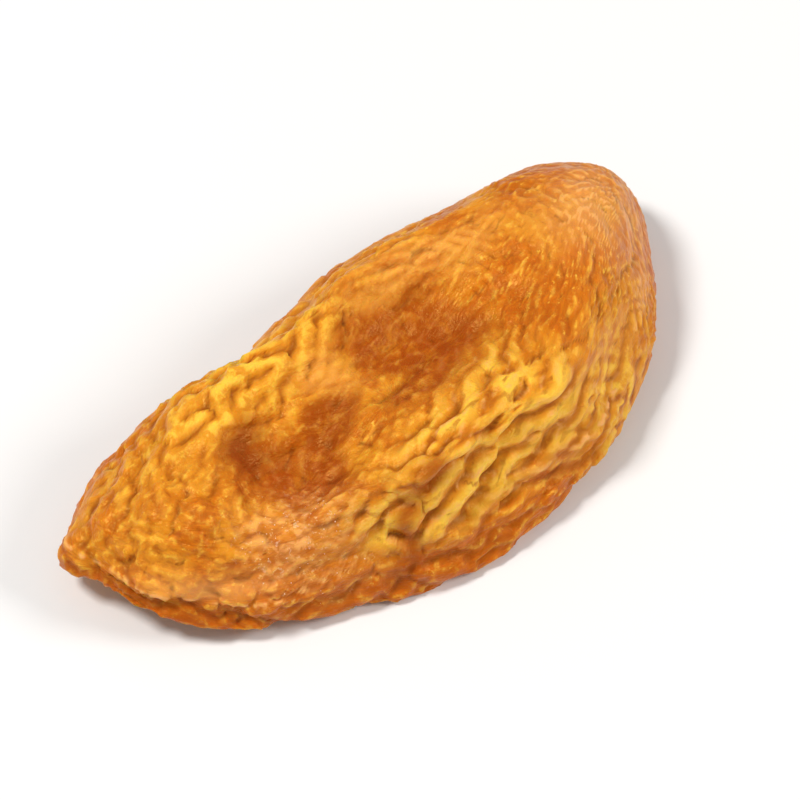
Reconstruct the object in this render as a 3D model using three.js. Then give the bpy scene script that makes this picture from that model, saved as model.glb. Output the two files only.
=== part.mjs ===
// Dried apricot half, lying on its cut side with the skin up.
// Millimetres and degrees. +X runs to the blunt end, +Z is up, z = 0 is what it rests on.
import * as THREE from 'three';

// Seen from above, the edge at equal turns round the half, from the blunt end
const OUTLINE = [
  [26.1, 4.6], [23.4, 9.9], [15.0, 11.8], [6.7, 13.5], [-4.5, 12.3], [-15.0, 11.7], [-21.6, 9.1],
  [-23.5, 4.4], [-20.0, -1.4], [-12.9, -5.9], [-4.8, -8.9], [5.6, -9.5], [14.7, -7.5], [21.5, -2.2],
];
const MIDDLE = [0.0, 0.6];

// Section from the middle of the skin, over the edge, to the middle of the flesh.
// Each row: share of the way out, mm in from the edge, share of the height.
const SECTION = [
  [0.00, 0.0, 0.88],
  [0.38, 0.0, 0.91],
  [0.70, 0.6, 0.98],
  [0.97, 2.8, 0.86],
  [1.00, 0.9, 0.56],
  [1.00, 0.2, 0.25],
  [1.00, 1.8, 0.02],
  [1.00, 4.2, 0.03],
  [1.00, 5.7, 0.26],
  [1.00, 5.4, 0.47],
  [0.80, 2.9, 0.67],
  [0.40, 0.6, 0.69],
  [0.00, 0.0, 0.67],
];
// Shares of the way round the section over which each part of it sets in or ends
const EDGE_SETS_IN = [0.12, 0.30];
const EDGE_ENDS = [0.52, 0.66];
const SKIN_ENDS = [0.40, 0.56];
const GRAIN_TURNS = [0.50, 0.62];
const ROLL_SETS_IN = [0.52, 0.62];
const ROLL_ENDS = [0.80, 0.95];
const FLESH_SETS_IN = [0.56, 0.70];

// Shares of the height over which the lift of the rim ends and the relief sets in
const LIFT_ENDS = [0.0, 0.8];
const RELIEF_SETS_IN = [0.2, 0.7];

const HEIGHT = 10.6;
const THIN_END_DROP = 0.20;
const THIN_END_RANGE = [2, -24];
const BLUNT_END_RISE = 0.6;
const BLUNT_END_MIDDLE = 15;
const BLUNT_END_HALF = 9;
const NEAR_SIDE_TURN = 20;
const NEAR_SIDE_SLOPE = 0.65;
const NEAR_SIDE_SLOPE_RANGE = [0.25, 0.95];
const NEAR_SIDE_DROP = 0.10;
const NEAR_SIDE_DROP_RANGE = [0.35, 0.90];

// The rim stands clear of the floor but for three low spots: turn, width
const LOW_SPOTS = [[-100, 30], [-8, 22], [118, 24]];
const RIM_LIFT = 1.5;
const LIP_LIFT = 2.2;
const LIP_TURN = 186;
const LIP_WIDTH = 20;
const FLOOR_PRESS = 0.35;

// Dry lip on the near side of the thin end, with the skin turned in below it
const DRY_LIP_TURN = -166;
const DRY_LIP_WIDTH = 28;
const DRY_LIP_OUT = 0.8;
const DRY_LIP_WAY = 0.285;
const DRY_LIP_HALF = 0.030;
const TURNED_IN = 1.1;
const TURNED_IN_WAY = 0.385;
const TURNED_IN_HALF = 0.050;

// Small dents and bulges of the edge: turn, width, mm out
const EDGE_DENTS = [
  [-177, 7, -0.5], [-137, 9, 0.6], [-115, 8, -0.7], [-12, 8, -0.4],
  [10, 10, 0.5], [108, 7, -0.4], [132, 12, 0.5], [166, 8, 0.8],
];

// Folds of the rolled rim on the flesh side: turn, width, share of the roll
const PLEATS = [[-150, 5, -0.30], [-62, 4, -0.35], [28, 6, -0.30], [75, 5, 0.30], [160, 6, 0.35]];

// Slow waves of the roll: waves in a turn, phase, share of the roll
const ROLL_WAVES = [[3, 1.0, 0.16], [7, 2.0, 0.10]];

// Hollows and mounds of the skin: x, y, half length, half width, height, turn
const SKIN_RELIEF = [
  [4.2, 3.9, 5.4, 3.5, -2.2, -20],
  [-8.8, 0.3, 6.2, 3.0, -2.2, 18],
  [-9.9, 3.4, 1.8, 1.2, -0.8, 35],
  [-1.9, 1.8, 3.6, 1.1, 0.5, 70],
  [14.0, -6.3, 6.0, 1.6, -0.7, 30],
  [-13.3, -6.2, 3.0, 2.0, -0.5, 0],
  [1.6, -5.2, 8.0, 2.6, 1.1, 19],
  [-7.3, 8.3, 8.0, 2.6, 0.6, 5],
  [18.2, 2.3, 5.0, 5.0, 0.5, 0],
  [-16.3, 1.8, 5.0, 3.0, 0.5, 10],
];
// Slow unevenness: height, size, seed
const UNEVEN_UP = [0.35, 2.6, 1.0];
const UNEVEN_ALONG = [0.35, 2.4, 2.0];
const UNEVEN_ACROSS = [0.45, 2.2, 3.0];

// Wrinkles, which run round the half as the skin shrinks
const WRINKLE_SEED = 7;
const WRINKLE_SOURCES = 620;
const WRINKLE_SPACING = 2.9;
const WRINKLE_SHORT = 0.9;
const WRINKLE_LONG = 2.0;
const WRINKLE_SKIN = 0.42;
const WRINKLE_RIM = 0.16;
const WRINKLE_FLESH = 0.26;
const WRINKLE_VALLEY = 0.03;
const WRINKLE_LEVEL = 0.6;
const WRINKLE_BLUNT_END = 0.45;
const CALM_RANGE = [5, 15];
const HALF_LENGTH = 25;
const HALF_WIDTH = 12;
const STRAY = 26;
const STRAY_THIN_END = 30;
const STRAY_RANGE = [6, -10];

// Middle of the finished box, which becomes the origin
const BOX_MIDDLE = [1.38, 1.72];

const GRID = 30;
const NORMAL_STEP = 1e-3;
const SAME_CORNER = 1e-5;
const RANDOM_FACTOR = 1664525;
const RANDOM_STEP = 1013904223;
const RANDOM_RANGE = 2 ** 32;
const APRICOT_ORANGE = '#d98a2c';

const TURN = 2 * Math.PI;
const RADIANS = Math.PI / 180;

function clamp(value, low, high) {
  return Math.min(high, Math.max(low, value));
}

function smooth(from, to, value) {
  const t = clamp((value - from) / (to - from), 0, 1);
  return t * t * (3 - 2 * t);
}

function bump(distance, width) {
  return Math.exp(-((distance / width) ** 2));
}

function wrapDegrees(angle) {
  return ((((angle + 180) % 360) + 360) % 360) - 180;
}

function curveThrough(a, b, c, d, f) {
  const linear = (c - a) * f;
  const square = (2 * a - 5 * b + 4 * c - d) * f * f;
  const cube = (3 * b - a - 3 * c + d) * f * f * f;
  return 0.5 * (2 * b + linear + square + cube);
}

function edgeAt(theta) {
  const count = OUTLINE.length;
  const t = (((theta / TURN) % 1 + 1) % 1) * count;
  const i = Math.floor(t) % count;
  const rows = [-1, 0, 1, 2].map((step) => OUTLINE[(i + step + count) % count]);
  const along = (axis) => curveThrough(...rows.map((row) => row[axis]), t - Math.floor(t));
  return [along(0) - MIDDLE[0], along(1) - MIDDLE[1]];
}

// Past either middle the section goes on as its own mirror image
function sectionRow(k) {
  const last = SECTION.length - 1;
  if (k >= 0 && k <= last) return SECTION[k];
  const row = SECTION[k < 0 ? -k : 2 * last - k];
  return [-row[0], -row[1], row[2]];
}

function sectionAt(w) {
  const last = SECTION.length - 1;
  const t = clamp(w, 0, 1) * last;
  const i = Math.min(Math.floor(t), last - 1);
  const rows = [-1, 0, 1, 2].map((step) => sectionRow(i + step));
  return [0, 1, 2].map((column) => curveThrough(...rows.map((row) => row[column]), t - i));
}

function skinRelief(x, y) {
  let sum = 0;
  for (const [cx, cy, length, width, height, turn] of SKIN_RELIEF) {
    const c = Math.cos(turn * RADIANS);
    const s = Math.sin(turn * RADIANS);
    const along = (x - cx) * c + (y - cy) * s;
    const across = -(x - cx) * s + (y - cy) * c;
    sum += height * bump(along, length) * bump(across, width);
  }
  return sum;
}

// Slow unevenness, between about minus the height and the height
function uneven(p, height, size, seed) {
  const x = p.x / size;
  const y = p.y / size;
  const z = p.z / size;
  const first = Math.sin(x + 1.7 * Math.sin(0.9 * y + seed));
  const second = Math.sin(1.1 * y + 1.3 * Math.sin(1.2 * z + 2 * seed) + seed);
  const third = Math.sin(0.95 * z + 1.5 * Math.sin(1.05 * x + 3 * seed) + 2 * seed);
  return height * (first + second + third) / 3;
}

// Way from the middle of the skin (0) over the edge to the middle of the flesh (1)
function wayAt(direction) {
  return Math.acos(clamp(direction.z, -1, 1)) / Math.PI;
}

// The shrunken half without its wrinkles, for a direction out of its middle
function form(direction) {
  const theta = Math.atan2(direction.y, direction.x);
  const degrees = theta / RADIANS;
  const w = wayAt(direction);
  const edge = edgeAt(theta);
  const [share, inset, rise] = sectionAt(w);

  let roll = 0;
  for (const [waves, phase, part] of ROLL_WAVES) roll += part * Math.sin(waves * theta + phase);
  for (const [at, width, part] of PLEATS) roll += part * bump(wrapDegrees(degrees - at), width);
  const onRoll = smooth(...ROLL_SETS_IN, w) * (1 - smooth(...ROLL_ENDS, w));
  const onLip = bump(wrapDegrees(degrees - DRY_LIP_TURN), DRY_LIP_WIDTH);
  const lipOut = DRY_LIP_OUT * bump(w - DRY_LIP_WAY, DRY_LIP_HALF);
  const turnedIn = TURNED_IN * bump(w - TURNED_IN_WAY, TURNED_IN_HALF);
  const onEdge = smooth(...EDGE_SETS_IN, w) * (1 - smooth(...EDGE_ENDS, w));
  let dents = 0;
  for (const [at, width, height] of EDGE_DENTS) dents += height * bump(wrapDegrees(degrees - at), width);
  const out = onEdge * dents + onLip * (lipOut - turnedIn) - inset * (1 + onRoll * roll);
  const reach = share + out / Math.hypot(edge[0], edge[1]);
  const p = new THREE.Vector3(MIDDLE[0] + edge[0] * reach, MIDDLE[1] + edge[1] * reach, 0);

  const nearSide = 0.5 - 0.5 * Math.sin((degrees + NEAR_SIDE_TURN) * RADIANS);
  const outward = Math.abs(reach);
  const slope = 1 + NEAR_SIDE_SLOPE * nearSide * smooth(...NEAR_SIDE_SLOPE_RANGE, outward);
  const h = Math.max(rise, 0) ** slope;
  let clear = 1;
  for (const [at, width] of LOW_SPOTS) clear *= 1 - bump(wrapDegrees(degrees - at), width);
  const lift = RIM_LIFT * clear + LIP_LIFT * bump(wrapDegrees(degrees - LIP_TURN), LIP_WIDTH);
  const thinEnd = THIN_END_DROP * smooth(...THIN_END_RANGE, p.x);
  const bluntEnd = BLUNT_END_RISE * bump(p.x - BLUNT_END_MIDDLE, BLUNT_END_HALF);
  const crown = HEIGHT * (1 - thinEnd) + bluntEnd;
  const drop = 1 - NEAR_SIDE_DROP * nearSide * smooth(...NEAR_SIDE_DROP_RANGE, outward);
  p.z = lift * (1 - smooth(...LIFT_ENDS, h)) + h * crown * drop - FLOOR_PRESS;

  const up = smooth(...RELIEF_SETS_IN, h);
  p.z += skinRelief(p.x, p.y) * up;
  p.z += uneven(p, ...UNEVEN_UP) * up;
  const along = uneven(p, ...UNEVEN_ALONG);
  const across = uneven(p, ...UNEVEN_ACROSS);
  p.x += along;
  p.y += across;
  return p;
}

// Point and outward normal of the form
function frameAt(direction) {
  const aside = Math.abs(direction.z) > 0.9 ? new THREE.Vector3(1, 0, 0) : new THREE.Vector3(0, 0, 1);
  const first = new THREE.Vector3().crossVectors(aside, direction).normalize();
  const second = new THREE.Vector3().crossVectors(direction, first);
  const slopeAlong = (tangent) => {
    const ahead = direction.clone().addScaledVector(tangent, NORMAL_STEP).normalize();
    const behind = direction.clone().addScaledVector(tangent, -NORMAL_STEP).normalize();
    return form(ahead).sub(form(behind));
  };
  const normal = slopeAlong(first).cross(slopeAlong(second)).normalize();
  return { point: form(direction), normal };
}

// Even random shares, the same in every build
function randomSource(seed) {
  let state = seed;
  return () => {
    state = (RANDOM_FACTOR * state + RANDOM_STEP) % RANDOM_RANGE;
    return state / RANDOM_RANGE;
  };
}

// How far the wrinkles stray from their run round the half
function strayAt(x) {
  return STRAY + STRAY_THIN_END * smooth(...STRAY_RANGE, x);
}

// Small wave sources strewn over the surface
function wrinkleSources() {
  const random = randomSource(WRINKLE_SEED);
  const sources = [];
  for (let k = 0; k < WRINKLE_SOURCES; k += 1) {
    const z = 1 - 2 * random();
    const angle = TURN * random();
    const lean = 2 * random() - 1;
    const phase = TURN * random();
    const flat = Math.sqrt(1 - z * z);
    const direction = new THREE.Vector3(flat * Math.cos(angle), flat * Math.sin(angle), z);
    const { point, normal } = frameAt(direction);
    const round = new THREE.Vector3((MIDDLE[1] - point.y) / HALF_WIDTH ** 2, point.x / HALF_LENGTH ** 2, 0);
    round.addScaledVector(normal, -round.dot(normal)).normalize();
    const across = new THREE.Vector3().crossVectors(normal, round);
    const turn = (strayAt(point.x) * lean + 90 * smooth(...GRAIN_TURNS, wayAt(direction))) * RADIANS;
    const wave = across.clone().multiplyScalar(Math.cos(turn)).addScaledVector(round, Math.sin(turn));
    const crest = round.clone().multiplyScalar(Math.cos(turn)).addScaledVector(across, -Math.sin(turn));
    sources.push({ point, normal, wave, crest, phase });
  }
  return sources;
}

// Height of the wrinkles at a point, 0 in a valley to 1 on a crest
function wrinkleAt(point, normal, sources) {
  const narrow = WRINKLE_SHORT * WRINKLE_SPACING;
  const wide = WRINKLE_LONG * WRINKLE_SPACING;
  let real = 0;
  let imaginary = 0;
  for (const source of sources) {
    const away = point.clone().sub(source.point);
    const a = away.dot(source.wave);
    const b = away.dot(source.crest);
    const rest = away.lengthSq() - a * a - b * b;
    const facing = clamp(normal.dot(source.normal), 0, 1);
    const falloff = (a / narrow) ** 2 + (b / wide) ** 2 + rest / (narrow * narrow);
    const weight = Math.exp(-0.5 * falloff) * facing * facing;
    const phase = TURN * a / WRINKLE_SPACING + source.phase;
    real += weight * Math.cos(phase);
    imaginary += weight * Math.sin(phase);
  }
  const phase = Math.atan2(imaginary, real);
  return Math.sqrt(WRINKLE_VALLEY + Math.cos(phase / 2) ** 2) / Math.sqrt(1 + WRINKLE_VALLEY);
}

function surfacePoint(direction, sources) {
  const { point, normal } = frameAt(direction);
  const w = wayAt(direction);
  const skin = 1 - smooth(...SKIN_ENDS, w);
  const flesh = smooth(...FLESH_SETS_IN, w);
  const calm = 1 - (1 - WRINKLE_BLUNT_END) * smooth(...CALM_RANGE, point.x);
  const depth = WRINKLE_SKIN * calm * skin + WRINKLE_RIM * (1 - skin) * (1 - flesh) + WRINKLE_FLESH * flesh;
  point.addScaledVector(normal, depth * (wrinkleAt(point, normal, sources) - WRINKLE_LEVEL));
  point.x -= BOX_MIDDLE[0];
  point.y -= BOX_MIDDLE[1];
  point.z = Math.max(point.z, 0);
  return point;
}

// The sides of a cube, each as a point of its face from two shares
const CUBE_SIDES = [
  (a, b) => [1, a, b],
  (a, b) => [-1, b, a],
  (a, b) => [b, 1, a],
  (a, b) => [a, -1, b],
  (a, b) => [a, b, 1],
  (a, b) => [b, a, -1],
];

// One closed skin over a cube's grid, with its corners shared
function closedSurface() {
  const sources = wrinkleSources();
  const points = [];
  const known = new Map();
  const cornerOf = (side, i, j) => {
    const a = Math.tan((i / GRID - 0.5) * Math.PI / 2);
    const b = Math.tan((j / GRID - 0.5) * Math.PI / 2);
    const direction = new THREE.Vector3(...side(a, b)).normalize();
    const key = direction.toArray().map((value) => Math.round(value / SAME_CORNER)).join(' ');
    if (!known.has(key)) {
      known.set(key, points.length);
      points.push(surfacePoint(direction, sources));
    }
    return known.get(key);
  };

  const faces = [];
  for (const side of CUBE_SIDES) {
    for (let i = 0; i < GRID; i += 1) {
      for (let j = 0; j < GRID; j += 1) {
        const a = cornerOf(side, i, j);
        const b = cornerOf(side, i + 1, j);
        const c = cornerOf(side, i + 1, j + 1);
        const d = cornerOf(side, i, j + 1);
        const shortWay = points[a].distanceTo(points[c]) <= points[b].distanceTo(points[d]);
        faces.push(...(shortWay ? [a, b, c, a, c, d] : [a, b, d, b, c, d]));
      }
    }
  }
  const geometry = new THREE.BufferGeometry();
  geometry.setAttribute('position', new THREE.Float32BufferAttribute(points.flatMap((p) => p.toArray()), 3));
  geometry.setIndex(faces);
  geometry.computeVertexNormals();
  return geometry;
}

const material = new THREE.MeshStandardMaterial({ color: APRICOT_ORANGE, roughness: 0.5, metalness: 0 });
const apricotHalf = new THREE.Mesh(closedSurface(), material);
apricotHalf.name = 'apricot_half';

const part = new THREE.Group();
part.name = 'dried_apricot_half';
part.add(apricotHalf);

export default part;
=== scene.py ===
"""Dried apricot half lying skin up: its finished surface in place of the plain solid, with torn fibres
and sugar grains.

The half is worked out in millimetres, in the solid's own shape, and made in metres.
"""
import math

import bpy
import numpy as np
from bpy.props import FloatProperty, FloatVectorProperty, IntProperty, PointerProperty
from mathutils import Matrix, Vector


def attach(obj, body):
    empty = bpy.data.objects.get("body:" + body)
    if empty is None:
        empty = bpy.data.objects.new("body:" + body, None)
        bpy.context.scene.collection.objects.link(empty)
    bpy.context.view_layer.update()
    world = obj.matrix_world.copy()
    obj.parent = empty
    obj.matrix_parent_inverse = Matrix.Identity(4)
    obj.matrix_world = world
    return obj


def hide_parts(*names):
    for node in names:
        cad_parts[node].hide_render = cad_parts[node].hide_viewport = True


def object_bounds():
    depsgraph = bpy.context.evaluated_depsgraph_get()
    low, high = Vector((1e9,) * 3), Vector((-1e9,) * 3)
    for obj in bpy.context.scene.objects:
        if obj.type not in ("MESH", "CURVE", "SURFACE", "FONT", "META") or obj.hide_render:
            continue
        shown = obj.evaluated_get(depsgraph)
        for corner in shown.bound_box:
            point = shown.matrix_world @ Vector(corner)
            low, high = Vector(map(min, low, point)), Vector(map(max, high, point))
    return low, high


bl_info = {
    "name": "Dried Apricot Half",
    "version": (1, 0, 0),
    "blender": (4, 5, 0),
    "location": "View3D > Sidebar > Apricot",
    "description": "Makes a dried apricot half with its folds, torn fibres and sugar grains",
    "category": "Object",
}

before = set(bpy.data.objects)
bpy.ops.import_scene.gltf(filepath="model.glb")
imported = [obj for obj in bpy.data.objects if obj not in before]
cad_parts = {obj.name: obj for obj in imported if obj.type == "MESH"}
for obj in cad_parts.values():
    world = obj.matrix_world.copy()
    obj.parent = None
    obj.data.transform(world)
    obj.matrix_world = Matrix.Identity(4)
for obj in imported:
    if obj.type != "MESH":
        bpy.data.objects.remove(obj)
CAD_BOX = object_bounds()
NODE = "apricot_half"
HALF = "fruit_half"
GRAIN_GROUP = "Dried fruit grain"
MM = 0.001
TURN = 2 * math.pi

# Seen from above, the edge at equal turns round the half, from the blunt end
OUTLINE = [
    (26.1, 4.6), (23.4, 9.9), (15.0, 11.8), (6.7, 13.5), (-4.5, 12.3), (-15.0, 11.7), (-21.6, 9.1),
    (-23.5, 4.4), (-20.0, -1.4), (-12.9, -5.9), (-4.8, -8.9), (5.6, -9.5), (14.7, -7.5), (21.5, -2.2),
]
MIDDLE = (0.0, 0.6)
BOX_MIDDLE = (1.38, 1.72)

# Section from the middle of the skin, over the edge, to the middle of the flesh.
# Each row: share of the way out, mm in from the edge, share of the height.
SECTION = [
    (0.00, 0.0, 0.88),
    (0.38, 0.0, 0.91),
    (0.70, 0.6, 0.98),
    (0.97, 2.8, 0.86),
    (1.00, 0.9, 0.56),
    (1.00, 0.2, 0.25),
    (1.00, 1.8, 0.02),
    (1.00, 4.2, 0.03),
    (1.00, 5.7, 0.26),
    (1.00, 5.4, 0.47),
    (0.80, 2.9, 0.67),
    (0.40, 0.6, 0.69),
    (0.00, 0.0, 0.67),
]
# Shares of the way round the section over which each part of it sets in or ends
EDGE_SETS_IN = (0.12, 0.30)
EDGE_ENDS = (0.52, 0.66)
SKIN_ENDS = (0.40, 0.56)
GRAIN_TURNS = (0.50, 0.62)
ROLL_SETS_IN = (0.52, 0.62)
ROLL_ENDS = (0.80, 0.95)
FLESH_SETS_IN = (0.56, 0.70)

# Shares of the height over which the lift of the rim ends and the relief sets in
LIFT_ENDS = (0.0, 0.8)
RELIEF_SETS_IN = (0.2, 0.7)

HEIGHT = 10.6
THIN_END_DROP = 0.20
THIN_END_RANGE = (2, -24)
BLUNT_END_RISE = 0.6
BLUNT_END_MIDDLE = 15
BLUNT_END_HALF = 9
NEAR_SIDE_TURN = 20
NEAR_SIDE_SLOPE = 0.65
NEAR_SIDE_SLOPE_RANGE = (0.25, 0.95)
NEAR_SIDE_DROP = 0.10
NEAR_SIDE_DROP_RANGE = (0.35, 0.90)

# The rim stands clear of the floor but for three low spots: turn, width
LOW_SPOTS = [(-100, 30), (-8, 22), (118, 24)]
RIM_LIFT = 1.5
LIP_LIFT = 2.2
LIP_TURN = 186
LIP_WIDTH = 20
FLOOR_PRESS = 0.35

# Dry lip on the near side of the thin end, with the skin turned in below it
DRY_LIP_TURN = -166
DRY_LIP_WIDTH = 28
DRY_LIP_OUT = 0.8
DRY_LIP_WAY = 0.285
DRY_LIP_HALF = 0.030
TURNED_IN = 1.1
TURNED_IN_WAY = 0.385
TURNED_IN_HALF = 0.050

# Small dents and bulges of the edge: turn, width, mm out
EDGE_DENTS = [
    (-177, 7, -0.5), (-137, 9, 0.6), (-115, 8, -0.7), (-12, 8, -0.4),
    (10, 10, 0.5), (108, 7, -0.4), (132, 12, 0.5), (166, 8, 0.8),
]

# Folds of the rolled rim on the flesh side: turn, width, share of the roll
PLEATS = [(-150, 5, -0.30), (-62, 4, -0.35), (28, 6, -0.30), (75, 5, 0.30), (160, 6, 0.35)]

# Slow waves of the roll: waves in a turn, phase, share of the roll
ROLL_WAVES = [(3, 1.0, 0.16), (7, 2.0, 0.10)]

# Hollows and mounds of the skin: x, y, half length, half width, height, turn
SKIN_RELIEF = [
    (4.2, 3.9, 5.4, 3.5, -2.2, -20),
    (-8.8, 0.3, 6.2, 3.0, -2.2, 18),
    (-9.9, 3.4, 1.8, 1.2, -0.8, 35),
    (-1.9, 1.8, 3.6, 1.1, 0.5, 70),
    (14.0, -6.3, 6.0, 1.6, -0.7, 30),
    (-13.3, -6.2, 3.0, 2.0, -0.5, 0),
    (1.6, -5.2, 8.0, 2.6, 1.1, 19),
    (-7.3, 8.3, 8.0, 2.6, 0.6, 5),
    (18.2, 2.3, 5.0, 5.0, 0.5, 0),
    (-16.3, 1.8, 5.0, 3.0, 0.5, 10),
]

# Slow unevenness of the form and of its patches: height, size, seed
UNEVEN_UP = (0.35, 2.6, 1.0)
UNEVEN_ALONG = (0.35, 2.4, 2.0)
UNEVEN_ACROSS = (0.45, 2.2, 3.0)
PATCH_ALONG = (0.9, 1.3, 11.0)
PATCH_ACROSS = (0.9, 1.2, 12.0)

# Striations that run round the half: how many in a turn, and from middle to middle
RUN_ROUND = 6
RUN_ACROSS = 62

# Wrinkles of the solid, which run round the half as the skin shrinks
WRINKLE_SEED = 7
WRINKLE_SOURCES = 620
WRINKLE_SPACING = 2.9
WRINKLE_SHORT = 0.9
WRINKLE_LONG = 2.0
WRINKLE_RIM = 0.16
WRINKLE_FLESH = 0.26
WRINKLE_VALLEY = 0.03
WRINKLE_LEVEL = 0.6
RIDGE_CREST = 0.02
WRINKLE_BLUNT_END = 0.45
CALM_RANGE = (5, 15)
HALF_LENGTH = 25
HALF_WIDTH = 12
STRAY = 26
STRAY_THIN_END = 30
STRAY_RANGE = (6, -10)

# Folds and creases laid over them, finer than the solid can hold
FOLD_SEED = 11
FOLD_SOURCES = 2600
FOLD_LONG = 2.6
FOLD_STRAY = 30
CREASE_SEED = 23
CREASE_SOURCES = 7000
CREASE_LONG = 2.4
CREASE_STRAY = 44
FINE_SHORT = 0.8
FINE_STRAY_THIN_END = 30
FINE_STRAY_BLUNT_END = 26
FINE_BLUNT_END = 0.78
GOLD_WIDER = 0.25
FLESH_WIDER = 0.3
SPACING_SPREAD = 0.35
SPACING_DRIFT = (0.38, 1.15, 8.0)
HEAD_TURN = 60
CREASE_LESS_ON_GOLD = 0.15
CREASE_ON_FLESH = 0.35
LINED_POWER = 1.5
LINED_LESS_SUNKEN = 0.6

# Depth of the folds and creases from place to place: least, more, limits of the unevenness, unevenness
FOLD_DEPTHS = (0.3, 1.2, (-0.5, 0.7), (1.0, 1.7, 7.0))
CREASE_DEPTHS = (0.3, 1.4, (-0.5, 0.6), (1.0, 1.3, 9.0))

# Patches of the skin by finish. Each row: x, y, half length, half width, turn.
GOLD_FOLDS = [
    (1.0, -4.2, 5.2, 1.8, 8),
    (-1.0, -7.1, 7.5, 1.8, 4),
    (5.8, -4.2, 2.3, 3.6, 0),
    (8.0, -6.5, 2.4, 1.4, 30),
    (-6.0, -6.0, 2.6, 1.2, -35),
]
GOLD_HEAD = (5.8, -3.2, 2.4, 2.2, 0)
SIDE_GOLD = [(-8.0, 7.6, 10.0, 3.2, 4), (13.6, -7.0, 4.6, 2.2, 30)]
SUNKEN = [
    (4.0, 3.6, 5.0, 3.3, -46),
    (1.4, 0.2, 3.2, 1.6, 10),
    (-8.0, 0.2, 4.0, 2.9, -59),
    (-4.8, 1.8, 2.6, 1.5, 20),
]
BLOOM = [(-11.2, -3.0, 3.8, 2.0, -30)]
STRAW = [(8.6, 7.3, 6.0, 1.7, -12), (-2.4, 4.6, 2.0, 1.4, 120)]
# Painted highlight on the blunt end's shoulder
PEACH_HIGHLIGHT_END = [(20.0, 3.6, 4.6, 3.0, 35)]
# Patches of deep orange skin
DEEP_ORANGE_PATCHES = [(16.2, 0.1, 3.8, 1.8, 10), (13.8, -3.2, 3.2, 2.0, 0), (11.6, 2.8, 3.0, 1.6, 0)]
BROWN_SPOTS = [(-3.1, -6.0, 1.6, 0.9, 10), (-5.4, -7.2, 2.4, 0.8, 12)]
# Painted shade in the small pit
PIT_SHADE = [(-10.2, 3.6, 1.8, 1.2, 35)]

# Limits of the finishes: share of a patch, height in mm, or share of the way round the section
SUNKEN_EDGE = (0.15, 0.65)
GOLD_ABOVE = (3, 6)
# Below these heights in mm the skin takes the deep orange as painted shade on the lower flank
LOW_SHADE_BELOW = (5.5, 2.5)
FLESH_BELOW = (4.5, 1.0)
# Painted highlight along the dry lip
PALE_LIP_TURN = -153
PALE_LIP_WIDTH = 14
PALE_LIP_HALF = 0.025
# Painted shade on the skin turned in under the lip, fainter on the lower wall all round
UNDER_LIP_SETS_IN = (0.31, 0.40)
UNDER_LIP_ELSEWHERE = 0.4
# Painted highlight line along the edge of the skin: share of the way round the section, its wave and half
# width
PALE_EDGE_WAY = 0.31
PALE_EDGE_WAVE = 0.012
PALE_EDGE_WAVES = 5
PALE_EDGE_HALF = 0.007
CUT_EDGE = (0.47, 0.54)
CUT_UNEVEN = (0.02, 1.4, 4.0)
STONE_EDGE = (0.66, 0.76)
STONE_UNEVEN = (0.02, 0.9, 5.0)
TORN_WAY = 0.69
TORN_HALF = 0.035

# Numbers of the surface maths
NEAR_POLE = 0.9
NORMAL_STEP = 1e-3
CORNER_KEYS = 1e5
RANDOM_FACTOR = 1664525
RANDOM_STEP = 1013904223
RANDOM_RANGE = 4294967296
CELL_SIZE = 2.5
WAVE_REACH = 2.9

# Noise of the skin: scale, detail, roughness, distortion, offset. Then the limits it is drawn between.
MOTTLE = ((260.0, 5.0, 0.62, 0.6, 0.0), (0.36, 0.64))
FLECK = ((900.0, 4.0, 0.65, 0.4, 0.7), (0.40, 0.62))
SPECK = ((2300.0, 2.0, 0.7, 0.0, 0.3), (0.58, 0.70))

# Puckers and striations of the skin: detail, roughness, distortion. Then their share of the height.
PUCKER_LINES = (3.0, 0.55, 1.0)
STREAK_LINES = (3.0, 0.6, 0.5)
STREAK_LIMITS = (0.14, 0.0)
PUCKER_HEIGHT = 1.6
STREAK_HEIGHT = 2.6
SKIN_PUCKERS = 0.0007
OTHER_PUCKERS = 0.0006

# Bump of a finish: strength, and height in metres
SKIN_BUMP = (0.7, 0.00010)
FIBRE_BUMP = (0.3, 0.00002)

# Middle line of a torn fibre in metres: start, its handle, the end's handle, end. Then its length.
FIBRE_LINE = [(0.0, 0.0, 0.0), (0.0, 0.0, 0.0004), (0.0004, 0.0, 0.0008), (0.0010, 0.0, 0.0009)]
FIBRE_LINE_LENGTH = 0.0014
FIBRE_STEPS = 5
FIBRE_SIDES = 4
FIBRE_TIP = 0.15
FIBRE_LEAN = 0.5
FIBRE_SIZES = (0.45, 1.3)
GRAIN_SIZES = (0.5, 1.4)

# Lights: place and width in metres
KEY_LIGHT = ((-0.17, 0.10, 0.37), 0.10)
FILL_LIGHT = ((0.24, -0.24, 0.26), 0.16)
LIGHT_COLOUR = (1.0, 0.98, 0.95)
SENSOR_WIDTH = 36.0
NEAREST_SEEN = 0.01


class ApricotShape(bpy.types.PropertyGroup):
    """Sizes of the half's surface"""
    grid: IntProperty(
        name="Grid", description="Steps along each side of the cube that the surface is laid out from",
        default=124, min=20, max=127)
    wrinkle_depth: FloatProperty(
        name="Wrinkle depth", description="Height of the wide wrinkles on the skin",
        default=0.00042, unit="LENGTH", precision=5)
    fold_spacing: FloatProperty(
        name="Fold spacing", description="Distance between the narrow folds",
        default=0.00155, unit="LENGTH", precision=5)
    fold_depth: FloatProperty(
        name="Fold depth", description="Height of the narrow folds on the skin",
        default=0.00024, unit="LENGTH", precision=5)
    gold_depth: FloatProperty(
        name="Gold fold depth", description="Extra height of the bold golden folds",
        default=0.00030, unit="LENGTH", precision=5)
    crease_spacing: FloatProperty(
        name="Crease spacing", description="Distance between the fine creases",
        default=0.00088, unit="LENGTH", precision=5)
    crease_depth: FloatProperty(
        name="Crease depth", description="Height of the fine creases on the skin",
        default=0.00013, unit="LENGTH", precision=5)
    flesh_depth: FloatProperty(
        name="Flesh fold depth", description="Height of the folds on the cut flesh",
        default=0.00016, unit="LENGTH", precision=5)


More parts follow.
